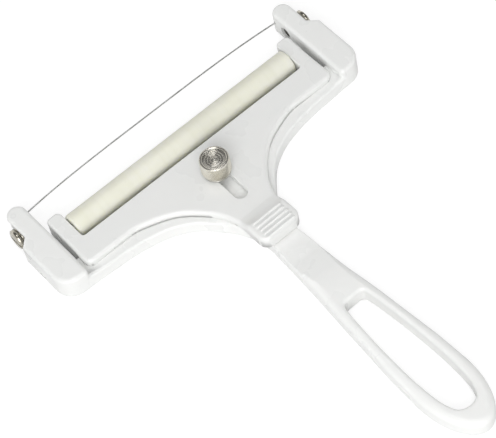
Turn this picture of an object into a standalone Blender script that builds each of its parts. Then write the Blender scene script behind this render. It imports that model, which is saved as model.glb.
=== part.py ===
"""Wire cheese slicer: a cast frame with handle and two arms, a taut wire, and a clamped carriage with a roller.

X runs along the wire, +Y from the handle to the wire, +Z up. The frame's flat underside is at Z = 0 and
the origin is under the middle of the object's outer box. Lengths are in metres.
"""

import math

import bmesh
import bpy
from mathutils import Matrix, Vector

# Places along the tool, measured back from the wire
TIP_AHEAD = 0.0032
HANDLE_END = 0.1864
WIRE_Y = (HANDLE_END - TIP_AHEAD) / 2
SLAB_FRONT = 0.0300
THUMB_SCREW_BACK = 0.0397
ROLLER_BACK = 0.01815
WIRE_SCREW_BACK = 0.0065

# Clearances between pieces, and how far cutters run past what they cut
FIT_GAP = 0.0003
SNUG_GAP = 0.00015
OVERRUN = 0.004

# Frame casting: a flat slab under the plate
SLAB_THICK = 0.0061
SLAB_EDGE = 0.0009
FOOT_EDGE = 0.0004
SLAB_REAR = 0.0403
SLAB_CORNER = 0.0060
FLANK_STATIONS = (
    (0.0580, 0.0407),
    (0.0500, 0.0411),
    (0.0440, 0.0416),
    (0.0380, 0.0425),
    (0.0300, 0.0445),
    (0.0240, 0.0473),
    (0.0190, 0.0508),
    (0.0145, 0.0558),
    (0.0108, 0.0608),
    (0.0080, 0.0660),
    (0.0063, 0.0712),
    (0.0058, 0.0765),
    (0.0050, 0.0850),
    (0.0030, 0.0890),
)

# Frame casting: the arms that hold the wire
ARM_CLEARANCE = 0.0021
ARM_WIDE = 0.0080
SHOULDER_WIDE = 0.0035
POCKET_DEEP = 0.0013
SLAB_IN_ARM = 0.0043
ARM_TOP = 0.0103
ARM_EDGE = 0.0015
ARM_REAR = 0.0404
ARM_CORNER = 0.0078
ARM_INNER_CORNER = 0.0019
SHOULDER_FRONT = 0.0108
SHOULDER_REAR = 0.0143
POCKET_TOP = 0.0088
POCKET_REAR = 0.0116

# Frame casting: the handle with its loop
HANDLE_TOP = 0.0081
NECK_EDGE = 0.0038
HANDLE_EDGE = 0.0024
HANDLE_FOOT = 0.0018
HANDLE_WIDE = 0.0121
HANDLE_FRONT = 0.0690
HANDLE_LONG = HANDLE_END - HANDLE_FRONT

# Half width, and share of the way from the handle's front to its end
HANDLE_WIDE_SHARE = 0.8
NECK_EDGE_SHARES = (0.28, 0.44)
NECK_STATIONS = (
    (0.0040, 0.009),
    (0.0055, 0.038),
    (0.0060, 0.072),
    (0.0064, 0.111),
    (0.0069, 0.187),
    (0.0077, 0.289),
    (0.0090, 0.409),
    (0.0104, 0.553),
    (0.0116, 0.672),
)
LOOP_STATIONS = (
    (0, 0.400),
    (0.0034, 0.401),
    (0.0046, 0.409),
    (0.0052, 0.429),
    (0.0058, 0.471),
    (0.0066, 0.548),
    (0.0072, 0.633),
    (0.0075, 0.710),
    (0.0074, 0.778),
    (0.0069, 0.838),
    (0.0060, 0.876),
    (0.0041, 0.909),
    (0, 0.922),
)
LOOP_EDGE = 0.0012
LOOP_FOOT = 0.0018
NECK_LEVEL = 0.0060
NECK_RISE_FRONT = 0.0795
NECK_RISE_REAR = 0.1120
NECK_RISE_SHARES = (1 / 3, 1 / 8)

# Carriage casting: the plate that slides on the slab
PLATE_LOW = SLAB_THICK + FIT_GAP
PLATE_TOP = 0.0090
PLATE_EDGE = 0.0014
PLATE_REAR = 0.0373
PLATE_CORNER = 0.0032
CUTOUT_HALF = 0.0540
CUTOUT_REAR = 0.0258
CUTOUT_EDGE = 0.0006
CUTOUT_CORNER = 0.0012
CARRIAGE_ARM_WIDE = 0.0062
CARRIAGE_ARM_OUTER = CUTOUT_HALF + CARRIAGE_ARM_WIDE
PLATE_HALF = CARRIAGE_ARM_OUTER + FIT_GAP
CARRIAGE_ARM_FRONT = 0.0102
CARRIAGE_TIP_CORNER = 0.0019
CARRIAGE_ARM_LOW = 0.0004
CARRIAGE_ARM_EDGE = 0.0010
PLATE_NECK_STATIONS = (
    (0.0410, 0.0373),
    (0.0375, 0.0377),
    (0.0315, 0.0396),
    (0.0257, 0.0420),
    (0.0215, 0.0447),
    (0.0178, 0.0481),
    (0.0141, 0.0524),
    (0.0116, 0.0562),
    (0.0099, 0.0602),
    (0.0091, 0.0640),
    (0.0080, 0.0690),
    (0.0050, 0.0720),
)
SLOT_FRONT = THUMB_SCREW_BACK
SLOT_REAR = 0.0533
SLIDE_TRAVEL = 0.0090

# Frame casting: the arms stand outside the carriage
ARM_INNER = CARRIAGE_ARM_OUTER + ARM_CLEARANCE
ARM_TIP_OUTER = ARM_INNER + ARM_WIDE
ARM_OUTER = ARM_TIP_OUTER + SHOULDER_WIDE
POCKET_FLOOR = ARM_TIP_OUTER - POCKET_DEEP
SLAB_INSIDE_ARM = ARM_OUTER - SLAB_IN_ARM

# Carriage casting: the ramp and ridges under the thumb
RAMP_FRONT = 0.0622
RAMP_REAR = 0.0681
RAMP_RISE = 0.0024
REST_TOP = 0.0119
REST_REAR = 0.0786
REST_HALF = 0.0091
REST_EDGE = 0.0015
REST_CORNER = 0.0040
REST_LIFT = 0.00005
REST_UNDERSIDE = PLATE_LOW + REST_LIFT
REST_START = 0.0597
REST_STATIONS = 18
REST_EDGE_SHARE = 0.9
RAMP_CURVE = 1.7
RIDGES = 5
RIDGE_FIRST = 0.0690
RIDGE_PITCH = 0.00208
RIDGE_HALF = 0.0066
RIDGE_RADIUS = 0.0006
RIDGE_SUNK = 0.0002

# Roller and its axle
ROLLER_RADIUS = 0.0052
ROLLER_EDGE = 0.0009
ROLLER_Z = 0.00565
ROLLER_END_GAP = 0.00045
AXLE_RADIUS = 0.0016
AXLE_RECESS = 0.0005
AXLE_CHAMFER = 0.0003

# Thumb screw and its washer
KNOB_RADIUS = 0.00583
KNOB_TOP = 0.0176
KNOB_LOW = 0.0103
KNOB_CHAMFER = 0.0005
KNOB_RING_RADIUS = 0.0047
KNOB_RING_DEEP = 0.0003
SHANK_RADIUS = 0.0024
SHANK_END = 0.0010
SHANK_CHAMFER = 0.0005
WASHER_RADIUS = 0.0054
WASHER_THICK = KNOB_LOW - PLATE_TOP - 2 * FIT_GAP
WASHER_CHAMFER = 0.0001

# Wire and the two screws that hold its ends
WIRE_RADIUS = 0.0003
WIRE_Z = 0.0053
WIRE_BOW = 0.0019
WIRE_BOW_POWER = 3.4
WIRE_HOLE = 0.0006
WIRE_BEND = 0.00045
WIRE_WRAP_SHARE = 0.74
WIRE_SCREW_Z = 0.0046
WIRE_SCREW_HEAD = 0.0042
WIRE_SCREW_HEAD_THICK = 0.0022
WIRE_SCREW_DOME = 0.0006
WIRE_SCREW_DOME_SHARES = ((0.5, 0.2), (0.85, 0.5), (1, 1.25))
WIRE_SCREW_RECESS = 0.0008
DRIVER_SLOT_WIDE = 0.0009
DRIVER_SLOT_DEEP = 0.0007
WIRE_WASHER_RADIUS = 0.0039
WIRE_WASHER_THICK = 0.0006
TAPPED_HOLE = SHANK_RADIUS + FIT_GAP

# Facets on round stretches
EDGE_STEPS = 4
CORNER_STEPS = 8
SPAN_STEPS = 4
ROUND_STEPS = 48
SMALL_STEPS = 32
MERGE = 0.00001
SMOOTH_ANGLE = math.radians(35)

UP = Vector((0, 0, 1))


def clear_scene():
    for obj in list(bpy.data.objects):
        bpy.data.objects.remove(obj, do_unlink=True)


def new_collection(name):
    made = bpy.data.collections.new(name)
    bpy.context.scene.collection.children.link(made)
    return made


clear_scene()
SLICER = new_collection("wire_cheese_slicer")
CUTTERS = new_collection("cutters")
CUTTERS.hide_render = True


def finish_of(name, colour, metallic, roughness):
    """A plain Principled material for one piece."""
    material = bpy.data.materials.new(name + "_finish")
    material.use_nodes = True
    shader = material.node_tree.nodes["Principled BSDF"]
    shader.inputs["Base Color"].default_value = (*colour, 1)
    shader.inputs["Metallic"].default_value = metallic
    shader.inputs["Roughness"].default_value = roughness
    return material


def behind(distance):
    """Y of a place that lies this far behind the wire."""
    return WIRE_Y - distance


def arc(centre, radius, start, end, steps):
    """Points on a circle between two angles in degrees, ends included."""
    angles = [math.radians(start + (end - start) * step / steps) for step in range(steps + 1)]
    return [(centre[0] + radius * math.cos(a), centre[1] + radius * math.sin(a)) for a in angles]


def smooth(stations, steps, closed=False):
    """A Catmull-Rom line through the stations, with this many steps between two of them."""
    count = len(stations)
    points = []
    last = count if closed else count - 1
    for index in range(last):
        around = [index - 1, index, index + 1, index + 2]
        if closed:
            p0, p1, p2, p3 = [Vector(stations[i % count]) for i in around]
        else:
            p0, p1, p2, p3 = [Vector(stations[min(max(i, 0), count - 1)]) for i in around]
        for step in range(steps):
            t = step / steps
            point = p1 + (p2 - p0) * (t / 2)
            point += (2 * p0 - 5 * p1 + 4 * p2 - p3) * (t * t / 2)
            point += (3 * p1 - p0 - 3 * p2 + p3) * (t * t * t / 2)
            points.append(tuple(point))
    if not closed:
        points.append(tuple(stations[-1]))
    return points


def placed(stations):
    """Stations given as half width and distance behind the wire, turned into points on the plan."""
    return [(half, behind(distance)) for half, distance in stations]


def along_handle(stations):
    """Stations given as half width and share of the handle's length, turned into points on the plan."""
    return [(half, behind(HANDLE_FRONT + HANDLE_LONG * share)) for half, share in stations]


def both_sides(points):
    """Completes an outline that runs down the right side, with its mirror image up the left side."""
    left = [(-x, y) for x, y in reversed(points) if x > MERGE]
    return points + left


def object_from(name, made, collection=SLICER, finish=None):
    """Turns a bmesh into an object in a collection, with its faces pointing out."""
    bmesh.ops.recalc_face_normals(made, faces=made.faces[:])
    mesh = bpy.data.meshes.new(name)
    made.to_mesh(mesh)
    made.free()
    obj = bpy.data.objects.new(name, mesh)
    collection.objects.link(obj)
    if finish:
        mesh.materials.append(finish)
    if collection is CUTTERS:
        obj.display_type = "WIRE"
    return obj


def inward(points):
    """The step that moves each corner of a closed outline inwards by one unit from both its sides."""
    area = sum(a[0] * b[1] - b[0] * a[1] for a, b in zip(points, points[1:] + points[:1]))
    turn = 1 if area > 0 else -1
    steps = []
    for before, here, after in zip(points[-1:] + points[:-1], points, points[1:] + points[:1]):
        one = (Vector(here) - Vector(before)).normalized()
        two = (Vector(after) - Vector(here)).normalized()
        first = Vector((-one.y, one.x)) * turn
        second = Vector((-two.y, two.x)) * turn
        steps.append((first + second) / (1 + first.dot(second)))
    return steps


def moulded(name, points, low, high, top_edge, foot_edge, collection=SLICER):
    """A flat body extruded level by level from its outline, with rounded top and foot edges.

    top_edge is one radius, or a function that gives the radius at each point of the outline.
    """
    radii = [top_edge(*point) if callable(top_edge) else top_edge for point in points]
    steps = inward(points)
    quarter = [math.radians(90 * step / EDGE_STEPS) for step in range(EDGE_STEPS + 1)]
    levels = []
    for a in quarter:
        levels.append([(low + foot_edge * (1 - math.cos(a)), foot_edge * (1 - math.sin(a)))] * len(points))
    for a in quarter:
        levels.append([(high - r * (1 - math.sin(a)), r * (1 - math.cos(a))) for r in radii])
    made = bmesh.new()
    place = made.verts.layers.int.new("place")
    ring = []
    for index, point in enumerate(points):
        vertex = made.verts.new((*point, 0))
        vertex[place] = index
        ring.append(vertex)
    face = made.faces.new(ring)
    for number, level in enumerate(levels):
        if number:
            under = face
            grown = bmesh.ops.extrude_face_region(made, geom=[face])
            face = [item for item in grown["geom"] if isinstance(item, bmesh.types.BMFace)][0]
            if number > 1 and under.is_valid:
                bmesh.ops.delete(made, geom=[under], context="FACES_ONLY")
        for vertex in face.verts:
            index = vertex[place]
            height, inset = level[index]
            x, y = points[index]
            vertex.co = (x + steps[index].x * inset, y + steps[index].y * inset, height)
    return object_from(name, made, collection)


def block(name, low, high):
    """A box between two corners, as a cutter."""
    made = bmesh.new()
    bmesh.ops.create_cube(made, size=1)
    size = [b - a for a, b in zip(low, high)]
    middle = [(a + b) / 2 for a, b in zip(low, high)]
    made.transform(Matrix.Translation(middle) @ Matrix.Diagonal((*size, 1)))
    return object_from(name, made, CUTTERS)


def rod(name, start, end, radius, steps, collection=CUTTERS):
    """A round bar between two points."""
    start = Vector(start)
    along = Vector(end) - start
    made = bmesh.new()
    bmesh.ops.create_cone(made, cap_ends=True, segments=steps, radius1=radius, radius2=radius, depth=along.length)
    turn = UP.rotation_difference(along).to_matrix().to_4x4()
    made.transform(Matrix.Translation(start + along / 2) @ turn)
    return object_from(name, made, collection)


def combine(obj, other, operation):
    """Adds an exact Boolean with another object and applies it."""
    modifier = obj.modifiers.new(other.name, "BOOLEAN")
    modifier.operation = operation
    modifier.solver = "EXACT"
    modifier.object = other
    graph = bpy.context.evaluated_depsgraph_get()
    mesh = bpy.data.meshes.new_from_object(obj.evaluated_get(graph))
    obj.modifiers.remove(modifier)
    old = obj.data
    obj.data = mesh
    bpy.data.meshes.remove(old)
    mesh.name = obj.name


def cut(obj, cutter):
    combine(obj, cutter, "DIFFERENCE")


def join(obj, other):
    """Joins another body into this one and removes it."""
    combine(obj, other, "UNION")
    bpy.data.objects.remove(other, do_unlink=True)


def dress(obj, finish):
    """Gives a piece its one material and smooth shading with crisp corners."""
    obj.data.materials.clear()
    obj.data.materials.append(finish)
    obj.data.shade_smooth()
    obj.data.set_sharp_from_angle(angle=SMOOTH_ANGLE)


def turned(name, profile, steps, finish, collection=SLICER):
    """A turned piece: the closed outer profile, from the top centre down, swept once round Z."""
    mesh = bpy.data.meshes.new(name)
    points = [(radius, 0, height) for radius, height in profile]
    edges = [(i, i + 1) for i in range(len(points) - 1)]
    if profile[0][0] > MERGE:
        edges.append((len(points) - 1, 0))
    mesh.from_pydata(points, edges, [])
    obj = bpy.data.objects.new(name, mesh)
    collection.objects.link(obj)
    screw = obj.modifiers.new("turned", "SCREW")
    screw.axis = "Z"
    screw.steps = steps
    screw.render_steps = steps
    screw.use_merge_vertices = True
    screw.merge_threshold = MERGE
    graph = bpy.context.evaluated_depsgraph_get()
    made = bmesh.new()
    made.from_mesh(obj.evaluated_get(graph).data)
    bmesh.ops.remove_doubles(made, verts=made.verts[:], dist=MERGE)
    bmesh.ops.recalc_face_normals(made, faces=made.faces[:])
    obj.modifiers.clear()
    made.to_mesh(mesh)
    made.free()
    dress(obj, finish)
    return obj


def lay(obj, axis, place):
    """Turns a piece made round Z so that its top points along an axis, with its foot at a place."""
    turn = UP.rotation_difference(Vector(axis)).to_matrix().to_4x4()
    obj.matrix_world = Matrix.Translation(place) @ turn


# Finishes
enamel = finish_of("frame_casting", (0.80, 0.80, 0.79), 0, 0.30)
plate_enamel = finish_of("carriage_casting", (0.80, 0.80, 0.79), 0, 0.30)
roller_plastic = finish_of("roller", (0.80, 0.79, 0.68), 0, 0.40)
axle_steel = finish_of("roller_axle", (0.60, 0.60, 0.60), 1, 0.35)
nickel = finish_of("thumb_screw", (0.72, 0.70, 0.64), 1, 0.28)
washer_nickel = finish_of("thumb_screw_washer", (0.66, 0.65, 0.62), 1, 0.35)
wire_steel = finish_of("cheese_wire", (0.60, 0.60, 0.60), 1, 0.30)
screw_steel = finish_of("wire_screws", (0.62, 0.60, 0.54), 1, 0.30)
screw_washer_steel = finish_of("wire_washers", (0.60, 0.58, 0.53), 1, 0.35)


def slab_outline():
    """The slab under the plate: a wide bar that narrows to the neck. Its ends lie inside the arms."""
    corner = (SLAB_INSIDE_ARM - SLAB_CORNER, behind(SLAB_REAR - SLAB_CORNER))
    right = [(0, behind(SLAB_FRONT)), (SLAB_INSIDE_ARM, behind(SLAB_FRONT))]
    right += arc(corner, SLAB_CORNER, 0, -90, CORNER_STEPS)
    right += smooth(placed(FLANK_STATIONS), SPAN_STEPS)
    return both_sides(right)


def arm_outline(side):
    """One arm from its rounded tip back to the slab's rear corner, seen from above."""
    width = ARM_TIP_OUTER - ARM_INNER
    nose_centre = (ARM_INNER + width / 2, behind(width / 2 - TIP_AHEAD))
    nose = arc(nose_centre, width / 2, 180, 0, 2 * CORNER_STEPS)
    shoulder = [
        (ARM_TIP_OUTER, behind(SHOULDER_FRONT)),
        (ARM_TIP_OUTER + (ARM_OUTER - ARM_TIP_OUTER) / 2, behind((SHOULDER_FRONT + SHOULDER_REAR) / 2)),
        (ARM_OUTER, behind(SHOULDER_REAR)),
    ]
    bend = smooth(shoulder, CORNER_STEPS)
    outer = arc((ARM_OUTER - ARM_CORNER, behind(ARM_REAR - ARM_CORNER)), ARM_CORNER, 0, -90, CORNER_STEPS)
    inner_centre = (ARM_INNER + ARM_INNER_CORNER, behind(ARM_REAR - ARM_INNER_CORNER))
    inner = arc(inner_centre, ARM_INNER_CORNER, -90, -180, CORNER_STEPS)
    points = nose + bend + outer[:-1] + inner
    return [(side * x, y) for x, y in points]


def handle_outline():
    """The neck and handle, which end in half an ellipse."""
    right = [(0, behind(HANDLE_FRONT))]
    right += smooth(along_handle(NECK_STATIONS), SPAN_STEPS)
    wide_back = HANDLE_FRONT + HANDLE_LONG * HANDLE_WIDE_SHARE
    length = HANDLE_END - wide_back
    for step in range(3 * CORNER_STEPS + 1):
        a = math.radians(90) * step / (3 * CORNER_STEPS)
        right.append((HANDLE_WIDE * math.cos(a), behind(wide_back + length * math.sin(a))))
    return both_sides(right[:-1] + [(0, behind(HANDLE_END))])


def handle_edge(x, y):
    """A wide rounding on the neck's top edges and a smaller one along the loop."""
    share = (behind(HANDLE_FRONT) - y) / HANDLE_LONG
    start, end = NECK_EDGE_SHARES
    along = min(max((share - start) / (end - start), 0), 1)
    return NECK_EDGE + (HANDLE_EDGE - NECK_EDGE) * along


def loop_outline():
    """The pear-shaped opening in the handle."""
    right = along_handle(LOOP_STATIONS)
    left = [(-x, y) for x, y in reversed(right[1:-1])]
    return smooth(right + left, SPAN_STEPS, closed=True)


def flared_opening(name, points, low, high, foot_edge, top_edge):
    """A cutter for an opening that leaves its top and foot edges rounded: it widens like a trumpet at both ends."""
    steps = inward(points)
    quarter = [math.radians(90 * step / EDGE_STEPS) for step in range(EDGE_STEPS + 1)]
    levels = [(low - OVERRUN, foot_edge)]
    levels += [(low + foot_edge * (1 - math.sin(a)), foot_edge * (1 - math.cos(a))) for a in reversed(quarter)]
    levels += [(high - top_edge * (1 - math.sin(a)), top_edge * (1 - math.cos(a))) for a in quarter]
    levels.append((high + OVERRUN, top_edge))
    made = bmesh.new()
    rings = []
    for height, widened in levels:
        ring = []
        for point, step in zip(points, steps):
            ring.append(made.verts.new((point[0] - step.x * widened, point[1] - step.y * widened, height)))
        rings.append(ring)
    made.faces.new(rings[0])
    made.faces.new(rings[-1])
    for lower, upper in zip(rings, rings[1:]):
        for i in range(len(points)):
            j = (i + 1) % len(points)
            made.faces.new((lower[i], lower[j], upper[j], upper[i]))
    return object_from(name, made, CUTTERS)


def neck_relief():
    """A wedge that takes the neck down to the slab's level in front and lets the handle rise behind it."""
    side = HANDLE_WIDE + OVERRUN
    level = NECK_LEVEL
    along = (NECK_RISE_REAR - NECK_RISE_FRONT) * NECK_RISE_SHARES[0]
    up = (HANDLE_TOP - level) * NECK_RISE_SHARES[1]
    profile = [
        (behind(HANDLE_FRONT - OVERRUN), level),
        (behind(NECK_RISE_FRONT), level),
        (behind(NECK_RISE_FRONT + along), level + up),
        (behind(NECK_RISE_REAR - along), HANDLE_TOP - up),
        (behind(NECK_RISE_REAR), HANDLE_TOP + SNUG_GAP),
        (behind(NECK_RISE_REAR), HANDLE_TOP + OVERRUN),
        (behind(HANDLE_FRONT - OVERRUN), HANDLE_TOP + OVERRUN),
    ]
    made = bmesh.new()
    face = made.faces.new([made.verts.new((-side, y, z)) for y, z in profile])
    grown = bmesh.ops.extrude_face_region(made, geom=[face])
    moved = [item for item in grown["geom"] if isinstance(item, bmesh.types.BMVert)]
    bmesh.ops.translate(made, verts=moved, vec=(2 * side, 0, 0))
    return object_from("neck_relief", made, CUTTERS)


def build_frame():
    """The frame casting in one piece: slab, two arms with screw pockets, and handle with its loop."""
    frame = moulded("frame_casting", slab_outline(), 0, SLAB_THICK, SLAB_EDGE, FOOT_EDGE)
    handle = moulded("handle", handle_outline(), 0, HANDLE_TOP, handle_edge, HANDLE_FOOT)
    cut(handle, flared_opening("loop_cutter", loop_outline(), 0, HANDLE_TOP, LOOP_FOOT, LOOP_EDGE))
    cut(handle, neck_relief())
    join(frame, handle)
    for side, word in ((-1, "left"), (1, "right")):
        arm = moulded("arm_" + word, arm_outline(side), 0, ARM_TOP, ARM_EDGE, FOOT_EDGE)
        near, far = sorted((side * POCKET_FLOOR, side * (ARM_OUTER + OVERRUN)))
        low = (near, behind(POCKET_REAR), -OVERRUN)
        high = (far, behind(0) + TIP_AHEAD + OVERRUN, POCKET_TOP)
        cut(arm, block("pocket_cutter_" + word, low, high))
        reach = (side * (ARM_INNER - OVERRUN), side * (ARM_OUTER + OVERRUN))
        ends = [(x, behind(WIRE_SCREW_BACK), WIRE_SCREW_Z) for x in reach]
        cut(arm, rod("wire_screw_hole_" + word, *ends, TAPPED_HOLE, SMALL_STEPS))
        ends = [(x, behind(0), WIRE_Z) for x in reach]
        cut(arm, rod("wire_hole_" + word, *ends, WIRE_HOLE, SMALL_STEPS // 2))
        join(frame, arm)
    ends = [(0, behind(THUMB_SCREW_BACK), z) for z in (-OVERRUN, SLAB_THICK + OVERRUN)]
    cut(frame, rod("thumb_screw_hole", *ends, TAPPED_HOLE, SMALL_STEPS))
    dress(frame, enamel)
    return frame


def plate_outline():
    """The carriage from above: roller cut-out between two short arms, then a plate that narrows to the thumb rest."""
    cutout = (CUTOUT_HALF - CUTOUT_CORNER, behind(CUTOUT_REAR - CUTOUT_CORNER))
    right = [(0, behind(CUTOUT_REAR))]
    right += arc(cutout, CUTOUT_CORNER, -90, 0, CORNER_STEPS // 2)
    corner = CARRIAGE_TIP_CORNER
    tip = behind(CARRIAGE_ARM_FRONT + corner)
    right += arc((CUTOUT_HALF + corner, tip), corner, 180, 90, CORNER_STEPS)
    right += arc((CARRIAGE_ARM_OUTER - corner, tip), corner, 90, 0, CORNER_STEPS)
    right.append((CARRIAGE_ARM_OUTER, behind(CUTOUT_REAR)))
    right += arc((PLATE_HALF - PLATE_CORNER, behind(PLATE_REAR - PLATE_CORNER)), PLATE_CORNER, 0, -90, CORNER_STEPS)
    right += smooth(placed(PLATE_NECK_STATIONS), SPAN_STEPS)
    return both_sides(right)


def plate_edge(x, y):
    """A crisp edge round the roller cut-out, a softer one on the arms and the softest on the rear edges."""
    if abs(x) < CUTOUT_HALF + MERGE and y > behind(CUTOUT_REAR) - MERGE:
        return CUTOUT_EDGE
    if y > behind(CUTOUT_REAR):
        return CARRIAGE_ARM_EDGE
    return PLATE_EDGE


def rest_height(distance):
    """Height of the thumb rest's top: level, then a concave ramp, a slow rise and a rounded rear."""
    if distance < RAMP_FRONT:
        return PLATE_TOP - MERGE * 2
    if distance < RAMP_REAR:
        share = (distance - RAMP_FRONT) / (RAMP_REAR - RAMP_FRONT)
        return PLATE_TOP + RAMP_RISE * share ** RAMP_CURVE
    share = (distance - RAMP_REAR) / (REST_REAR - RAMP_REAR)
    return PLATE_TOP + RAMP_RISE + (REST_TOP - PLATE_TOP - RAMP_RISE) * math.sin(math.radians(90) * share)


def build_rest():
    """The thumb rest, lofted along its length from sections that change in width, height and edge."""
    level = REST_REAR - REST_CORNER - REST_START
    stations = [REST_START + level * i / REST_STATIONS for i in range(REST_STATIONS + 1)]
    corner = [math.radians(90) * i / CORNER_STEPS for i in range(1, CORNER_STEPS + 1)]
    rows = []
    for distance in stations:
        rows.append((distance, REST_HALF, rest_height(distance), REST_EDGE))
    for a in corner[:-1]:
        distance = REST_REAR - REST_CORNER * (1 - math.sin(a))
        half = REST_HALF - REST_CORNER * (1 - math.cos(a))
        drop = REST_EDGE * (1 - math.cos(math.asin(max(0, (distance - REST_REAR + REST_EDGE) / REST_EDGE))))
        rows.append((distance, half, rest_height(distance) - drop, REST_EDGE))
    made = bmesh.new()
    rings = []
    for distance, half, top, edge in rows:
        edge = min(edge, (top - REST_UNDERSIDE) * REST_EDGE_SHARE)
        right = [(half, REST_UNDERSIDE)]
        right += arc((half - edge, top - edge), edge, 0, 90, EDGE_STEPS + 1)
        section = right + [(-x, z) for x, z in reversed(right)]
        rings.append([made.verts.new((x, behind(distance), z)) for x, z in section])
    made.faces.new(rings[0])
    made.faces.new(rings[-1])
    for one, two in zip(rings, rings[1:]):
        for i in range(len(one)):
            j = (i + 1) % len(one)
            made.faces.new((one[i], one[j], two[j], two[i]))
    return object_from("thumb_rest", made)


def build_ridge(number):
    """One ridge of the thumb rest: a bar with round ends, sunk into the top."""
    distance = RIDGE_FIRST + RIDGE_PITCH * number
    height = rest_height(distance) - RIDGE_SUNK
    profile = arc((0, 0), RIDGE_RADIUS, 90, 0, EDGE_STEPS)
    points = [(radius, RIDGE_HALF - RIDGE_RADIUS + along) for radius, along in profile]
    points += [(radius, -along) for radius, along in reversed(points)]
    ridge = turned(f"ridge_{number}", points, SMALL_STEPS // 2, plate_enamel)
    lay_matrix = Matrix.Translation((0, behind(distance), height)) @ Matrix.Rotation(math.radians(90), 4, "Y")
    ridge.data.transform(lay_matrix)
    return ridge


def build_carriage():
    """The carriage casting in one piece: plate, deep short arms, slot, and thumb rest with its ridges."""
    carriage = moulded("carriage_casting", plate_outline(), CARRIAGE_ARM_LOW, PLATE_TOP, plate_edge, FOOT_EDGE)
    wide = PLATE_HALF + OVERRUN
    low = (-wide, behind(REST_REAR + OVERRUN), -OVERRUN)
    high = (wide, behind(SLAB_FRONT) + FIT_GAP, PLATE_LOW)
    cut(carriage, block("slab_clearance", low, high))
    inside = CUTOUT_HALF - CUTOUT_CORNER
    low = (-inside, behind(SLAB_FRONT) - OVERRUN, -OVERRUN)
    high = (inside, behind(CUTOUT_REAR) + OVERRUN, PLATE_LOW)
    cut(carriage, block("roller_bay_clearance", low, high))
    join(carriage, build_rest())
    for number in range(RIDGES):
        join(carriage, build_ridge(number))
    half = SHANK_RADIUS + FIT_GAP
    slot = arc((0, behind(SLOT_FRONT)), half, 0, 180, 2 * CORNER_STEPS)
    slot += arc((0, behind(SLOT_REAR)), half, 180, 360, 2 * CORNER_STEPS)
    cut(carriage, flared_opening("slot_cutter", slot, PLATE_LOW, PLATE_TOP, FIT_GAP, FIT_GAP))
    reach = CARRIAGE_ARM_OUTER + OVERRUN
    for side, word in ((-1, "left"), (1, "right")):
        ends = [(side * x, behind(ROLLER_BACK), ROLLER_Z) for x in (CUTOUT_HALF - OVERRUN, reach)]
        cut(carriage, rod("axle_hole_" + word, *ends, AXLE_RADIUS + SNUG_GAP, SMALL_STEPS))
    dress(carriage, plate_enamel)
    return carriage


def build_roller():
    """The roller: a tube with rounded ends, and the steel rod it turns on."""
    half = CUTOUT_HALF - ROLLER_END_GAP
    bore = AXLE_RADIUS + FIT_GAP
    top = arc((ROLLER_RADIUS - ROLLER_EDGE, half - ROLLER_EDGE), ROLLER_EDGE, 90, 0, EDGE_STEPS + 1)
    profile = [(bore, half)] + top
    profile += [(radius, -along) for radius, along in reversed(profile)]
    roller = turned("roller", profile, ROUND_STEPS, roller_plastic)
    roller.matrix_world = Matrix.Translation((0, behind(ROLLER_BACK), ROLLER_Z)) @ Matrix.Rotation(
        math.radians(90), 4, "Y"
    )
    half = CARRIAGE_ARM_OUTER - AXLE_RECESS
    profile = [(0, half), (AXLE_RADIUS - AXLE_CHAMFER, half), (AXLE_RADIUS, half - AXLE_CHAMFER)]
    profile += [(radius, -along) for radius, along in reversed(profile)]
    axle = turned("roller_axle", profile, SMALL_STEPS, axle_steel)
    axle.matrix_world = roller.matrix_world.copy()


def build_thumb_screw():
    """The thumb screw with its round head, and the washer under the head."""
    ring = KNOB_RING_RADIUS
    low = KNOB_TOP - KNOB_RING_DEEP
    profile = [
        (0, low),
        (ring - KNOB_RING_DEEP, low),
        (ring, KNOB_TOP),
        (KNOB_RADIUS - KNOB_CHAMFER, KNOB_TOP),
        (KNOB_RADIUS, KNOB_TOP - KNOB_CHAMFER),
        (KNOB_RADIUS, KNOB_LOW + KNOB_CHAMFER),
        (KNOB_RADIUS - KNOB_CHAMFER, KNOB_LOW),
        (SHANK_RADIUS, KNOB_LOW),
        (SHANK_RADIUS, SHANK_END + SHANK_CHAMFER),
        (SHANK_RADIUS - SHANK_CHAMFER, SHANK_END),
        (0, SHANK_END),
    ]
    screw = turned("thumb_screw", profile, ROUND_STEPS, nickel)
    screw.location = (0, behind(THUMB_SCREW_BACK), 0)
    low = PLATE_TOP + FIT_GAP
    top = low + WASHER_THICK
    profile = [
        (TAPPED_HOLE, top),
        (WASHER_RADIUS - WASHER_CHAMFER, top),
        (WASHER_RADIUS, top - WASHER_CHAMFER),
        (WASHER_RADIUS, low + WASHER_CHAMFER),
        (WASHER_RADIUS - WASHER_CHAMFER, low),
        (TAPPED_HOLE, low),
    ]
    washer = turned("thumb_screw_washer", profile, ROUND_STEPS, washer_nickel)
    washer.location = (0, behind(THUMB_SCREW_BACK), 0)


WRAP_X = POCKET_FLOOR + SNUG_GAP + WIRE_RADIUS
WIRE_WASHER_IN = WRAP_X + WIRE_RADIUS + SNUG_GAP
WIRE_HEAD_IN = WIRE_WASHER_IN + WIRE_WASHER_THICK + SNUG_GAP
WIRE_SCREW_HEAD_OUT = WIRE_HEAD_IN + WIRE_SCREW_HEAD_THICK
WIRE_SCREW_END = ARM_INNER + WIRE_SCREW_RECESS


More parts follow.
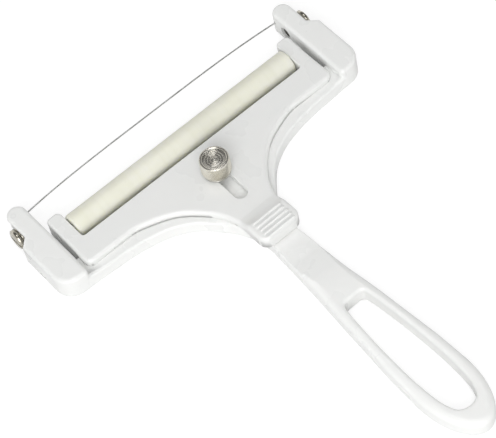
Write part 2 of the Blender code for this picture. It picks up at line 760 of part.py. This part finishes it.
def wire_end(side):
    """Centre line from the wire's free end, round the screw and through the arm to its inner face."""
    radius = SHANK_RADIUS + FIT_GAP + WIRE_RADIUS
    centre = (behind(WIRE_SCREW_BACK), WIRE_SCREW_Z)
    away = Vector((behind(0) - centre[0], WIRE_Z - centre[1]))
    tangent = math.degrees(math.atan2(away.y, away.x) + math.acos(radius / away.length))
    turn = arc(centre, radius, tangent + 360 * WIRE_WRAP_SHARE, tangent, 2 * CORNER_STEPS + CORNER_STEPS)
    points = [(side * WRAP_X, y, z) for y, z in turn]
    bend = arc((WRAP_X - WIRE_BEND, behind(WIRE_BEND)), WIRE_BEND, 0, 90, EDGE_STEPS)
    points += [(side * x, y, WIRE_Z) for x, y in bend]
    points.append((side * ARM_INNER, behind(0), WIRE_Z))
    return points


def wire_span():
    """Centre line between the arms: the wire bows away from the handle, flat in the middle."""
    points = []
    for step in range(1, ROUND_STEPS):
        share = 2 * step / ROUND_STEPS - 1
        bow = WIRE_BOW * (1 - abs(share) ** WIRE_BOW_POWER)
        points.append((ARM_INNER * share, behind(0) + bow, WIRE_Z))
    return points


def build_wire():
    """The cutting wire in one length, wrapped round both screws."""
    points = wire_end(-1) + wire_span() + list(reversed(wire_end(1)))
    curve = bpy.data.curves.new("cheese_wire", "CURVE")
    curve.dimensions = "3D"
    curve.bevel_depth = WIRE_RADIUS
    curve.bevel_resolution = 2
    curve.use_fill_caps = True
    spline = curve.splines.new("POLY")
    spline.points.add(len(points) - 1)
    for point, place in zip(spline.points, points):
        point.co = (*place, 1)
    guide = bpy.data.objects.new("wire_guide", curve)
    SLICER.objects.link(guide)
    graph = bpy.context.evaluated_depsgraph_get()
    made = bmesh.new()
    made.from_mesh(guide.evaluated_get(graph).to_mesh())
    bmesh.ops.remove_doubles(made, verts=made.verts[:], dist=MERGE)
    wire = object_from("cheese_wire", made)
    bpy.data.objects.remove(guide, do_unlink=True)
    dress(wire, wire_steel)


def build_wire_screw(side, word):
    """A slotted screw through an arm, and the washer that presses the wire's end against the arm."""
    length = WIRE_SCREW_HEAD_OUT - WIRE_SCREW_END
    head = WIRE_SCREW_HEAD_OUT - WIRE_HEAD_IN
    dome = [(0, length)]
    dome += [(WIRE_SCREW_HEAD * out, length - WIRE_SCREW_DOME * down) for out, down in WIRE_SCREW_DOME_SHARES]
    profile = dome + [
        (WIRE_SCREW_HEAD, length - head),
        (SHANK_RADIUS, length - head),
        (SHANK_RADIUS, SHANK_CHAMFER),
        (SHANK_RADIUS - SHANK_CHAMFER, 0),
        (0, 0),
    ]
    screw = turned("wire_screw_" + word, profile, ROUND_STEPS, screw_steel)
    place = (side * WIRE_SCREW_END, behind(WIRE_SCREW_BACK), WIRE_SCREW_Z)
    lay(screw, (side, 0, 0), place)
    bpy.context.view_layer.update()
    screw.data.transform(screw.matrix_world)
    screw.matrix_world = Matrix.Identity(4)
    near, far = sorted((side * (WIRE_SCREW_HEAD_OUT - DRIVER_SLOT_DEEP), side * (WIRE_SCREW_HEAD_OUT + OVERRUN)))
    reach = WIRE_SCREW_HEAD + OVERRUN
    low = (near, behind(WIRE_SCREW_BACK) - reach, WIRE_SCREW_Z - DRIVER_SLOT_WIDE / 2)
    high = (far, behind(WIRE_SCREW_BACK) + reach, WIRE_SCREW_Z + DRIVER_SLOT_WIDE / 2)
    cut(screw, block("driver_slot_" + word, low, high))
    dress(screw, screw_steel)
    profile = [
        (TAPPED_HOLE, WIRE_WASHER_THICK),
        (WIRE_WASHER_RADIUS - WASHER_CHAMFER, WIRE_WASHER_THICK),
        (WIRE_WASHER_RADIUS, WIRE_WASHER_THICK - WASHER_CHAMFER),
        (WIRE_WASHER_RADIUS, WASHER_CHAMFER),
        (WIRE_WASHER_RADIUS - WASHER_CHAMFER, 0),
        (TAPPED_HOLE, 0),
    ]
    washer = turned("wire_washer_" + word, profile, ROUND_STEPS, screw_washer_steel)
    lay(washer, (side, 0, 0), (side * WIRE_WASHER_IN, behind(WIRE_SCREW_BACK), WIRE_SCREW_Z))


def main():
    build_frame()
    carriage = build_carriage()
    carriage.data.transform(Matrix.Translation((0, -behind(THUMB_SCREW_BACK), -PLATE_LOW)))
    carriage.location = (0, behind(THUMB_SCREW_BACK), PLATE_LOW)
    build_roller()
    build_thumb_screw()
    build_wire()
    build_wire_screw(-1, "left")
    build_wire_screw(1, "right")


main()
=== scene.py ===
"""Looks of the wire cheese slicer: enamelled castings, ivory roller, knurled thumb screw, steel wire."""

import math

import bmesh
import bpy
import numpy as np
from mathutils import Matrix, Vector


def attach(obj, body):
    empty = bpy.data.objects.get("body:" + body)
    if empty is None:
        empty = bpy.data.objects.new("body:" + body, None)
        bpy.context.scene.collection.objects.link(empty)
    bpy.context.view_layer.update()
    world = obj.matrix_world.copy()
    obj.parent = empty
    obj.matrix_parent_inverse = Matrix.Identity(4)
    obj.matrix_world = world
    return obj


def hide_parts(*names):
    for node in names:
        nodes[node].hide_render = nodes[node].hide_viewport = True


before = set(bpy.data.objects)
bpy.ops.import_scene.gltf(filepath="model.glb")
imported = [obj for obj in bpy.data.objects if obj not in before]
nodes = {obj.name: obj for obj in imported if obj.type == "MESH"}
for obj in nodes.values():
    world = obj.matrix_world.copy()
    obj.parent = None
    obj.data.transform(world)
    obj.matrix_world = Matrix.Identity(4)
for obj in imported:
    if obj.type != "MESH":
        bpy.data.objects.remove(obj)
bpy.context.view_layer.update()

MM = 0.001
TAU = 2 * math.pi

# Places and sizes of the pieces, as the CAD has them
WIRE_Y = 91.6 * MM
SCREW_Y = WIRE_Y - 39.7 * MM
SLOT_REAR_Y = WIRE_Y - 53.3 * MM
RIDGE_FIRST_Y = WIRE_Y - 69.0 * MM
RIDGE_PITCH = 2.08 * MM
SLAB_TOP = 6.1 * MM
PLATE_FOOT = 6.4 * MM
ARM_TOP = 10.2 * MM
HEAD_LOW = 10.3 * MM
HEAD_TOP = 17.6 * MM
HEAD_RADIUS = 5.83 * MM
SHANK_RADIUS = 2.4 * MM
SHANK_END = 1.0 * MM
ROLLER_Y = WIRE_Y - 18.15 * MM
ROLLER_Z = 5.65 * MM
ROLLER_HALF = 53.55 * MM
ROLLER_RADIUS = 5.2 * MM
ROLLER_EDGE = 0.9 * MM
ROLLER_BORE = 1.9 * MM

# The plate's underside as seen: paint closes the sliding gap above the slab
PLATE_SEAT = 6.14 * MM

# Height of the mould's parting line, and the place of a small round mark on the left tip
PARTING_Z = 3.6 * MM
TIP_MARK_X = -67.8 * MM
TIP_MARK_Y = 90.9 * MM

# Ridges of the knurl, and columns of the lathe for each of them and for the roller
KNURL_RIDGES = 66
RIDGE_COLUMNS = 6
ROLLER_COLUMNS = 128

# Edges sharper than this stay sharp, in degrees
SHARP = 38
WIRE_SHARP = 60

# Strength of the even light from all sides, how much darker gloss sees the ceiling, and the floor's white
FILL = 0.50
CEILING_SHADE = 0.88
FLOOR_PAINT = 0.82
FLOOR_PAINT_SEEN = 0.36
FLOOR_WHITE = 0.70
FLOOR_GLOSS = 0.02

# Colours of the finishes, from clean to worn, and the colours painted in as shade in grooves, by the plate's
# foot and in the screw holes
FRAME_WHITES = ((0.88, 0.88, 0.865, 1), (0.86, 0.87, 0.855, 1))
PLATE_WHITES = ((0.85, 0.85, 0.835, 1), (0.83, 0.84, 0.825, 1))
ENAMEL_MOTTLE = (0.77, 0.775, 0.765, 1)
ENAMEL_WORN_AND_SHADE = (0.60, 0.605, 0.60, 1)
PIN_HOLE = (0.42, 0.41, 0.39, 1)
IVORY_PALE = (0.83, 0.825, 0.735, 1)
IVORY_YELLOWED = (0.79, 0.785, 0.67, 1)
IVORY_RING = (0.74, 0.735, 0.60, 1)
IVORY_SCRATCH = (0.62, 0.61, 0.50, 1)
NICKEL_BRIGHT = (0.80, 0.775, 0.71, 1)
NICKEL_TARNISH = (0.72, 0.69, 0.61, 1)
KNURL_FOOT_DARK = (0.36, 0.33, 0.27, 1)
WASHER_BRIGHT = (0.66, 0.65, 0.61, 1)
WASHER_DULL = (0.52, 0.50, 0.45, 1)
STEEL_BRIGHT = (0.66, 0.66, 0.65, 1)
STEEL_PATCH = (0.45, 0.45, 0.44, 1)
PLATING_BRIGHT = (0.66, 0.63, 0.55, 1)
PLATING_DULL = (0.40, 0.375, 0.31, 1)
HOLE_SHADE = (0.03, 0.028, 0.024, 1)


class Value:
    """A socket in a shader's graph. The usual operators on it add Math nodes."""

    def __init__(self, graph, socket):
        self.graph = graph
        self.socket = socket

    def math(self, operation, *others, clamp=False):
        return self.graph.math(operation, self, *others, clamp=clamp)

    def output(self, name):
        """Another output of the node that this value comes from."""
        return Value(self.graph, self.socket.node.outputs[name])

    def __add__(self, other):
        return self.math("ADD", other)

    __radd__ = __add__

    def __mul__(self, other):
        return self.math("MULTIPLY", other)

    __rmul__ = __mul__

    def __sub__(self, other):
        return self.math("SUBTRACT", other)

    def __rsub__(self, other):
        return self.graph.math("SUBTRACT", other, self)

    def __truediv__(self, other):
        return self.math("DIVIDE", other)

    def __rtruediv__(self, other):
        return self.graph.math("DIVIDE", other, self)

    def __pow__(self, other):
        return self.math("POWER", other)

    def __rpow__(self, other):
        return self.graph.math("POWER", other, self)

    def __abs__(self):
        return self.math("ABSOLUTE")

    def sine(self):
        return self.math("SINE")

    def root(self):
        return self.math("SQRT")

    def least(self, other):
        return self.math("MINIMUM", other)

    def most(self, other):
        return self.math("MAXIMUM", other)

    def rise(self, start, end):
        """0 below start, 1 above end, and an even slope between them; start may be the larger."""
        return ((self - start) / (end - start)).math("ADD", 0, clamp=True)


class Graph:
    """The nodes of one material or of the world."""

    def __init__(self, tree):
        self.tree = tree
        tree.nodes.clear()

    def plug(self, socket, value):
        if isinstance(value, Value):
            self.tree.links.new(value.socket, socket)
        else:
            socket.default_value = value

    def node(self, kind, settings=None, inputs=None, output=0):
        """Adds a node: its settings first, then the values or links of its inputs, by name or number."""
        made = self.tree.nodes.new(kind)
        for key, value in (settings or {}).items():
            setattr(made, key, value)
        for key, value in (inputs or {}).items():
            self.plug(made.inputs[key], value)
        return Value(self, made.outputs[output]) if made.outputs else None

    def math(self, operation, *values, clamp=False):
        settings = {"operation": operation, "use_clamp": clamp}
        return self.node("ShaderNodeMath", settings, dict(enumerate(values)))

    def place(self):
        return self.node("ShaderNodeTexCoord", output="Object")

    def parts(self, vector):
        """The three parts of a vector as values."""
        split = self.node("ShaderNodeSeparateXYZ", inputs={0: vector})
        return [split.output(axis) for axis in "XYZ"]

    def stretched(self, vector, scale):
        """The vector, scaled differently along each axis."""
        return self.node("ShaderNodeVectorMath", {"operation": "MULTIPLY"}, {0: vector, 1: scale})

    def noise(self, vector, scale, detail, roughness=0.5):
        """Even noise with about scale clouds to a metre."""
        inputs = {"Vector": vector, "Scale": scale, "Detail": detail, "Roughness": roughness}
        return self.node("ShaderNodeTexNoise", inputs=inputs)

    def spots(self, vector, scale, radius, share):
        """Small round spots: 1 in the middle of a share of the cells of a Voronoi pattern, 0 elsewhere."""
        near = self.node("ShaderNodeTexVoronoi", inputs={"Vector": vector, "Scale": scale})
        chance = self.parts(near.output("Color"))[0]
        return near.rise(radius, radius * 0.4) * chance.rise(1 - share, 1 - share + 0.02)

    def mix(self, factor, first, second):
        """A colour between two colours. Inputs 6 and 7 and output 2 are the Mix node's colour sockets."""
        return self.node("ShaderNodeMix", {"data_type": "RGBA"}, {0: factor, 6: first, 7: second}, output=2)

    def bump(self, height, distance):
        return self.node("ShaderNodeBump", inputs={"Height": height, "Distance": distance})


def surface_of(name, build, metallic=0.0, **constants):
    """A Principled material: build gives what varies over the surface, constants are set on its sockets."""
    material = bpy.data.materials.new(name)
    material.use_nodes = True
    graph = Graph(material.node_tree)
    inputs = {"Metallic": metallic}
    inputs.update({key.replace("_", " "): value for key, value in constants.items()})
    inputs.update(build(graph))
    shader = graph.node("ShaderNodeBsdfPrincipled", inputs=inputs)
    graph.node("ShaderNodeOutputMaterial", inputs={"Surface": shader})
    return material


def grey(level):
    return (level, level, level, 1)


def cast_enamel(graph, marks, whites):
    """White stove enamel on a sand-smoothed casting: faint clouds, orange peel, pin holes, and marks of wear
    and of painted shade.
    """
    place = graph.place()
    x, y, z = graph.parts(place)
    clouds = graph.noise(place, 45, 3)
    mottle = graph.noise(place, 260, 2)
    peel = graph.noise(place, 950, 2, 0.4)
    waves = graph.noise(place, 130, 1)
    pins = graph.spots(place, 330, 0.07, 0.22)
    clean, clouded = whites
    colour = graph.mix(clouds.rise(0.15, 0.85), clouded, clean)
    colour = graph.mix(mottle.rise(0.2, 0.9) * 0.16, colour, ENAMEL_MOTTLE)
    wear_and_shade, scuffs = marks(graph, place, x, y, z)
    # The marks darken the enamel both for real wear and for painted shade.
    colour = graph.mix(wear_and_shade, colour, ENAMEL_WORN_AND_SHADE)
    colour = graph.mix(pins * 0.35, colour, PIN_HOLE)
    parting = ((z - PARTING_Z) / (0.09 * MM)) ** 2
    seam = (parting * -1).math("EXPONENT")
    height = peel * 0.6 + waves * 2.2 - pins * 0.8 + seam * 0.9
    normal = graph.bump(height, 0.012 * MM)
    rough = clouds * 0.12 + scuffs * 0.16 + 0.22
    return {"Base Color": colour, "Roughness": rough, "Normal": normal}


def frame_marks(graph, place, x, y, z):
    """Wear on the frame: finger polish along the handle and a mark on one tip, with painted shade beside the
    plate's foot.
    """
    handled = y.rise(5 * MM, -40 * MM) * graph.noise(place, 70, 3).rise(0.45, 0.7)
    # Painted contact shade: a darker band on the slab's top beside the plate's foot.
    foot_shade = (1 - abs(z - SLAB_TOP).rise(0, 0.5 * MM)) * graph.noise(place, 140, 3).rise(0.35, 0.7)
    from_mark = ((x - TIP_MARK_X) ** 2 + (y - TIP_MARK_Y) ** 2).root()
    ring = 1 - abs(from_mark - 0.9 * MM).rise(0, 0.35 * MM)
    on_top = z.rise(ARM_TOP - 0.3 * MM, ARM_TOP)
    return foot_shade * 0.05 + ring * on_top * 0.22, handled


def plate_marks(graph, place, x, y, z):
    """Wear on the carriage: rubbed arcs round the thumb screw and its slot, and painted shade between the
    ridges.
    """
    along = y.least(SCREW_Y).most(SLOT_REAR_Y)
    from_slot = (x ** 2 + (y - along) ** 2).root()
    streaks = graph.noise(graph.stretched(place, (900, 240, 300)), 1, 3)
    rub = from_slot.rise(6.8 * MM, 5.6 * MM) * streaks.rise(0.4, 0.75)
    # Painted shade: the grooves between the thumb rest's ridges are coloured darker.
    phase = ((y - RIDGE_FIRST_Y) / RIDGE_PITCH) * TAU
    groove = (phase.math("COSINE") * -1).rise(0.1, 0.9)
    in_rest = y.rise(RIDGE_FIRST_Y + RIDGE_PITCH, RIDGE_FIRST_Y) * z.rise(10.6 * MM, 11 * MM)
    between = groove * in_rest * abs(x).rise(6.9 * MM, 6.3 * MM)
    return rub * 0.08 + between * 0.30, rub


def frame_enamel(graph):
    return cast_enamel(graph, frame_marks, FRAME_WHITES)


def plate_enamel(graph):
    return cast_enamel(graph, plate_marks, PLATE_WHITES)


def ivory_plastic(graph):
    """Moulded ivory plastic: slight yellow clouds, fine turned rings along the roller and a few scratches."""
    place = graph.place()
    clouds = graph.noise(place, 60, 3)
    rings = graph.noise(graph.stretched(place, (5200, 0, 0)), 1, 2)
    wide_rings = graph.noise(graph.stretched(place, (420, 0, 0)), 1, 3)
    scratches = graph.noise(graph.stretched(place, (260, 3800, 3800)), 1, 2).rise(0.68, 0.8)
    colour = graph.mix(clouds.rise(0.3, 0.75), IVORY_PALE, IVORY_YELLOWED)
    colour = graph.mix(wide_rings.rise(0.45, 0.75) * 0.35, colour, IVORY_RING)
    colour = graph.mix(scratches * 0.25, colour, IVORY_SCRATCH)
    height = rings * 0.7 + wide_rings * 1.5 - scratches
    rough = 0.34 + wide_rings * 0.14
    return {"Base Color": colour, "Roughness": rough, "Normal": graph.bump(height, 0.006 * MM)}


def turned_nickel(graph):
    """Nickel over turned brass: rings on the flat top, soft tarnish, and a darker tone towards the foot of
    the knurl.
    """
    place = graph.place()
    x, y, z = graph.parts(place)
    from_axis = (x ** 2 + (y - SCREW_Y) ** 2).root()
    clouds = graph.noise(place, 420, 3)
    jitter = graph.noise(graph.stretched(place, (0, 0, 2600)), 1, 2)
    fine = ((from_axis / (0.21 * MM)) * TAU).sine()
    uneven = graph.noise(graph.node("ShaderNodeCombineXYZ", inputs={0: from_axis * 2600}), 1, 3)
    on_top = z.rise(HEAD_TOP - 0.6 * MM, HEAD_TOP - 0.4 * MM)
    height = (fine * 1.1 + uneven) * on_top + jitter * (1 - on_top)
    colour = graph.mix(clouds.rise(0.35, 0.75), NICKEL_BRIGHT, NICKEL_TARNISH)
    # Darker towards the foot of the knurl, next to the washer, broken up by noise.
    low = z.rise(HEAD_LOW + 1.9 * MM, HEAD_LOW + 0.1 * MM) * graph.noise(place, 900, 2).rise(0.3, 0.7)
    colour = graph.mix(low * 0.25, colour, KNURL_FOOT_DARK)
    rough = clouds * 0.14 + 0.15
    return {"Base Color": colour, "Roughness": rough, "Normal": graph.bump(height, 0.010 * MM)}


def washer_plate(graph):
    """A plated flat washer with faint stamping marks."""
    place = graph.place()
    clouds = graph.noise(place, 800, 3)
    colour = graph.mix(clouds.rise(0.3, 0.8), WASHER_BRIGHT, WASHER_DULL)
    return {"Base Color": colour, "Roughness": clouds * 0.2 + 0.22, "Normal": graph.bump(clouds, 0.01 * MM)}


def drawn_steel(graph):
    """Drawn wire and rod: lines along X, with small darker patches."""
    place = graph.place()
    lines = graph.noise(graph.stretched(place, (40, 9000, 9000)), 1, 2)
    patches = graph.noise(place, 240, 3)
    colour = graph.mix(patches.rise(0.4, 0.75), STEEL_BRIGHT, STEEL_PATCH)
    return {"Base Color": colour, "Roughness": lines * 0.2 + 0.2, "Normal": graph.bump(lines, 0.004 * MM)}


def screw_plating(graph):
    """Plated screw steel, slightly warm, with turned marks, and painted shade, nearly black, on the ends
    inside the arms.
    """
    place = graph.place()
    x = graph.parts(place)[0]
    clouds = graph.noise(place, 700, 3)
    rings = graph.noise(graph.stretched(place, (9000, 600, 600)), 1, 2)
    colour = graph.mix(clouds.rise(0.35, 0.75), PLATING_BRIGHT, PLATING_DULL)
    # Painted shade: the screw ends inside the arms are made nearly black, as the dark inside of a hole.
    inside = abs(x).rise(65 * MM, 63.8 * MM)
    colour = graph.mix(inside * 0.92, colour, HOLE_SHADE)
    rough = clouds * 0.14 + inside * 0.5 + 0.08
    return {"Base Color": colour, "Roughness": rough, "Normal": graph.bump(rings, 0.02 * MM)}


FRAME_ENAMEL = surface_of("frame enamel", frame_enamel, Coat_Weight=0.35, Coat_Roughness=0.12)
PLATE_ENAMEL = surface_of("carriage enamel", plate_enamel, Coat_Weight=0.35, Coat_Roughness=0.12)
IVORY = surface_of(
    "ivory plastic",
    ivory_plastic,
    Subsurface_Weight=0.6,
    Subsurface_Scale=0.003,
    Subsurface_Radius=(1.0, 1.0, 0.8),
)
NICKEL = surface_of("turned nickel", turned_nickel, metallic=1.0)
WASHER = surface_of("washer plating", washer_plate, metallic=1.0)
DRAWN = surface_of("drawn steel", drawn_steel, metallic=1.0)
SCREW = surface_of("screw plating", screw_plating, metallic=1.0)


def mesh_object(name, points, faces, material, body):
    """An object at the origin from whole arrays of points and faces, with smooth shading."""
    mesh = bpy.data.meshes.new(name)
    mesh.from_pydata(points.tolist(), [], faces)
    mesh.validate()
    mesh.materials.append(material)
    piece = bpy.data.objects.new(name, mesh)
    bpy.context.scene.collection.objects.link(piece)
    mesh.shade_smooth()
    mesh.set_sharp_from_angle(angle=math.radians(SHARP))
    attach(piece, body)
    return piece


def grid_faces(rows, columns, close_rows):
    """Quads of a grid whose columns run round, and whose rows run round too where the profile is closed."""
    row = np.arange(rows if close_rows else rows - 1)[:, None]
    column = np.arange(columns)[None, :]
    after_row = (row + 1) % rows
    after_column = (column + 1) % columns
    corners = [
        row * columns + column,
        row * columns + after_column,
        after_row * columns + after_column,
        after_row * columns + column,
    ]
    return np.stack([np.broadcast_to(c, (len(row), columns)) for c in corners], axis=-1).reshape(-1, 4)


def lathe(profile, columns, ripple=None, close_rows=False):
    """Points and faces of a turned form round Z.

    Point (i, a) = (r_i(a) cos a, r_i(a) sin a, z_i). r_i is the profile's radius, less ripple(a) times the
    profile's third number. A profile that starts and ends on the axis is closed there with a fan.
    """
    profile = np.array(profile, float)
    angle = np.arange(columns) * TAU / columns
    wave = ripple(angle) if ripple else np.zeros(columns)
    inner = profile if close_rows else profile[1:-1]
    radius = inner[:, :1] - inner[:, 2:3] * wave[None, :]
    height = np.broadcast_to(inner[:, 1:2], radius.shape)
    points = np.stack([radius * np.cos(angle), radius * np.sin(angle), height], axis=-1).reshape(-1, 3)
    faces = grid_faces(len(inner), columns, close_rows).tolist()
    if not close_rows:
        first, last = len(points), len(points) + 1
        points = np.vstack([points, [0, 0, profile[0, 1]], [0, 0, profile[-1, 1]]])
        around = np.arange(columns)
        after = (around + 1) % columns
        base = (len(inner) - 1) * columns
        faces += np.stack([np.full(columns, first), after, around], axis=-1).tolist()
        faces += np.stack([np.full(columns, last), base + around, base + after], axis=-1).tolist()
    return points, faces


def rounded(centre, radius, start, end, steps):
    """Profile rows on a circle, between two angles in degrees, with no ripple."""
    angle = np.radians(np.linspace(start, end, steps + 1))
    rows = np.stack([centre[0] + radius * np.cos(angle), centre[1] + radius * np.sin(angle)], axis=-1)
    return [(r, z, 0.0) for r, z in rows.tolist()]


def knurl(angle):
    """A triangle wave round the head: 0 on each ridge's crest, 1 in the valley between two."""
    return np.abs((angle * KNURL_RIDGES / TAU) % 1.0 * 2 - 1)


def build_thumb_screw():
    """The thumb screw: a straight-knurled head with a dished, ringed top, on a plain shank, turned round Z.

    The rows run from the shank's end up round the head to the middle of its top. Each gives a radius, a
    height and the depth of the knurl there, in millimetres.
    """
    sizes = (HEAD_LOW, HEAD_TOP, HEAD_RADIUS, SHANK_RADIUS, SHANK_END)
    low, top, out, shank, end = [size / MM for size in sizes]
    rows = [(0, end, 0), (shank - 0.5, end, 0), (shank, end + 0.5, 0), (shank, low, 0)]
    rows += [(5.2, low, 0), (5.45, low + 0.02, 0), (out - 0.12, low + 0.3, 0.05), (out, low + 0.55, 0.30)]
    rows += [(out, z, 0.30) for z in np.linspace(low + 0.9, top - 0.95, 6)]
    rows += [(out, top - 0.6, 0.30), (out - 0.06, top - 0.42, 0.16), (out - 0.22, top - 0.16, 0.02)]
    rows += [(out - 0.42, top - 0.02, 0), (5.2, top, 0), (4.86, top, 0), (4.74, top - 0.05, 0)]
    rows += [(4.62, top - 0.26, 0), (4.45, top - 0.30, 0)]
    dish = top - 0.30
    for ring in (3.55, 2.5, 1.5):
        rows += [(ring + 0.12, dish, 0), (ring, dish - 0.07, 0), (ring - 0.12, dish, 0)]
    rows += [(0.62, dish, 0), (0.5, dish + 0.06, 0), (0.25, dish + 0.09, 0), (0, dish + 0.09, 0)]
    points, faces = lathe(np.array(rows) * MM, KNURL_RIDGES * RIDGE_COLUMNS, knurl)
    points[:, 1] += SCREW_Y
    screw = mesh_object("knurled_thumb_screw", points, faces, NICKEL, "clamp_screw")
    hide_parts("thumb_screw")


def build_roller():
    """The roller: a tube with rounded ends, turned round Z from its bore outwards and then laid along X."""
    outer = ROLLER_RADIUS - ROLLER_EDGE
    shoulder = ROLLER_HALF - ROLLER_EDGE
    chamfer = 0.3 * MM
    rows = [(ROLLER_BORE, ROLLER_HALF - chamfer, 0.0), (ROLLER_BORE + chamfer, ROLLER_HALF, 0.0)]
    rows += rounded((outer, shoulder), ROLLER_EDGE, 90, 0, 8)
    rows += [(r, -z, depth) for r, z, depth in reversed(rows)]
    points, faces = lathe(rows[::-1], ROLLER_COLUMNS, close_rows=True)
    points = points[:, [2, 0, 1]]
    points += np.array([0, ROLLER_Y, ROLLER_Z])
    roller = mesh_object("ivory_roller", points, faces, IVORY, "roller_body")
    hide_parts("roller")


def seat_foot(mesh):
    """Lowers the plate's underside: z becomes PLATE_SEAT wherever it was PLATE_FOOT."""
    points = np.empty(len(mesh.vertices) * 3, np.float32)
    mesh.vertices.foreach_get("co", points)
    heights = points[2::3]
    heights[np.abs(heights - PLATE_FOOT) < 0.02 * MM] = PLATE_SEAT
    mesh.vertices.foreach_set("co", points)


def smoothed(node, material, body, angle=SHARP, change=None):
    """A merged copy of a CAD node that shades smoothly over its rounded edges and stays flat on its flats.

    change, where it is given, moves points of the copy before its edges are marked.
    """
    made = bmesh.new()
    made.from_mesh(nodes[node].data)
    made.transform(nodes[node].matrix_world)
    bmesh.ops.remove_doubles(made, verts=made.verts[:], dist=0.002 * MM)
    bmesh.ops.recalc_face_normals(made, faces=made.faces[:])
    mesh = bpy.data.meshes.new("smooth_" + node)
    made.to_mesh(mesh)
    made.free()
    if change:
        change(mesh)
    mesh.materials.clear()
    mesh.materials.append(material)
    piece = bpy.data.objects.new("smooth_" + node, mesh)
    bpy.context.scene.collection.objects.link(piece)
    mesh.shade_smooth()
    mesh.set_sharp_from_angle(angle=math.radians(angle))
    weighted = piece.modifiers.new("even", "WEIGHTED_NORMAL")
    weighted.keep_sharp = True
    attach(piece, body)
    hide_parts(node)


def build_camera():
    """The photograph's view: down at the tool from behind its left side, with the picture turned a little."""
    down, across, tilt = math.radians(56.17), math.radians(28.76), math.radians(13.92)
    target = Vector((-5.64 * MM, 27.24 * MM, 9.0 * MM))
    distance = 834.22 * MM
    picture_width, focal_pixels, sensor = 496, 2262.93, 36
    level = Vector((math.sin(across), math.cos(across), 0))
    flat_right = Vector((math.cos(across), -math.sin(across), 0))
    forward = level * math.cos(down) - Vector((0, 0, math.sin(down)))
    flat_up = level * math.sin(down) + Vector((0, 0, math.cos(down)))
    right = flat_right * math.cos(tilt) - flat_up * math.sin(tilt)
    up = flat_right * math.sin(tilt) + flat_up * math.cos(tilt)
    turn = Matrix((right, up, -forward)).transposed().to_4x4()
    data = bpy.data.cameras.new("camera")
    data.sensor_fit = "HORIZONTAL"
    data.sensor_width = sensor
    data.lens = focal_pixels / picture_width * sensor
    data.clip_start = 0.01
    data.clip_end = 50
    camera = bpy.data.objects.new("camera", data)
    camera.matrix_world = Matrix.Translation(target - forward * distance) @ turn
    bpy.context.scene.collection.objects.link(camera)
    bpy.context.scene.camera = camera


def build_lamp(name, towards, distance, wide, long, power):
    """A soft box that looks at the tool from a direction. Lengths are in metres and the power in watts."""
    data = bpy.data.lights.new(name, "AREA")
    data.shape = "RECTANGLE"
    data.size = wide
    data.size_y = long
    data.energy = power
    lamp = bpy.data.objects.new(name, data)
    place = Vector(towards).normalized() * distance
    aim = (-place).to_track_quat("-Z", "Y").to_matrix().to_4x4()
    lamp.matrix_world = Matrix.Translation(place) @ aim
    bpy.context.scene.collection.objects.link(lamp)


def seen_directly(graph):
    """1 for rays that should meet the white background: from the camera, or by gloss or through glass."""
    camera = graph.node("ShaderNodeLightPath", output="Is Camera Ray")
    glossy, through = [camera.output(name) for name in ("Is Glossy Ray", "Is Transmission Ray")]
    return camera.most(glossy).most(through), camera


def build_world():
    """An even pale world that lights softly. Seen directly it is white; gloss sees a darker ceiling."""
    world = bpy.data.worlds.new("studio")
    world.use_nodes = True
    graph = Graph(world.node_tree)
    seen, camera = seen_directly(graph)
    height = graph.parts(graph.node("ShaderNodeTexCoord", output="Generated"))[2]
    ceiling = height.rise(0.30, 0.62) * (1 - camera)
    shown = 1 - ceiling * CEILING_SHADE
    strength = seen * shown + (1 - seen) * FILL
    light = graph.node("ShaderNodeBackground", inputs={"Color": grey(1), "Strength": strength})
    graph.node("ShaderNodeOutputWorld", inputs={"Surface": light})
    bpy.context.scene.world = world


def build_floor():
    """A pale floor that looks white where it is lit and keeps the tool's soft shadow."""
    mesh = bpy.data.meshes.new("floor")
    half = 3.0
    corners = [(-half, -half, 0), (half, -half, 0), (half, half, 0), (-half, half, 0)]
    mesh.from_pydata(corners, [], [(0, 1, 2, 3)])
    floor = bpy.data.objects.new("floor", mesh)
    bpy.context.scene.collection.objects.link(floor)
    floor.location.z = -0.05 * MM
    material = bpy.data.materials.new("floor paint")
    material.use_nodes = True
    graph = Graph(material.node_tree)
    seen, camera = seen_directly(graph)
    paint = graph.mix(camera, grey(FLOOR_PAINT), grey(FLOOR_PAINT_SEEN))
    lit = graph.node("ShaderNodeBsdfDiffuse", inputs={"Color": paint})
    white = camera * FLOOR_WHITE + seen * FLOOR_GLOSS
    glow = graph.node("ShaderNodeEmission", inputs={"Color": grey(1), "Strength": white})
    both = graph.node("ShaderNodeAddShader", inputs={0: lit, 1: glow})
    graph.node("ShaderNodeOutputMaterial", inputs={"Surface": both})
    mesh.materials.append(material)


bpy.context.scene.view_settings.view_transform = "Standard"
build_camera()
build_world()
build_floor()
build_lamp("key", (-0.62, -0.72, 0.62), 1.3, 1.1, 0.9, 9.0)
build_lamp("overhead", (0.0753, 0.137, 0.988), 1.3, 0.5, 0.5, 2.2)
build_lamp("handle side", (-0.42, -0.62, 1.0), 0.85, 0.5, 0.5, 1.1)

smoothed("frame_casting", FRAME_ENAMEL, "frame")
smoothed("carriage_casting", PLATE_ENAMEL, "carriage", change=seat_foot)
smoothed("roller_axle", DRAWN, "carriage")
smoothed("cheese_wire", DRAWN, "frame", WIRE_SHARP)
smoothed("thumb_screw_washer", WASHER, "clamp_screw")
for word in ("left", "right"):
    smoothed("wire_screw_" + word, SCREW, "frame")
    smoothed("wire_washer_" + word, SCREW, "frame")
build_thumb_screw()
build_roller()
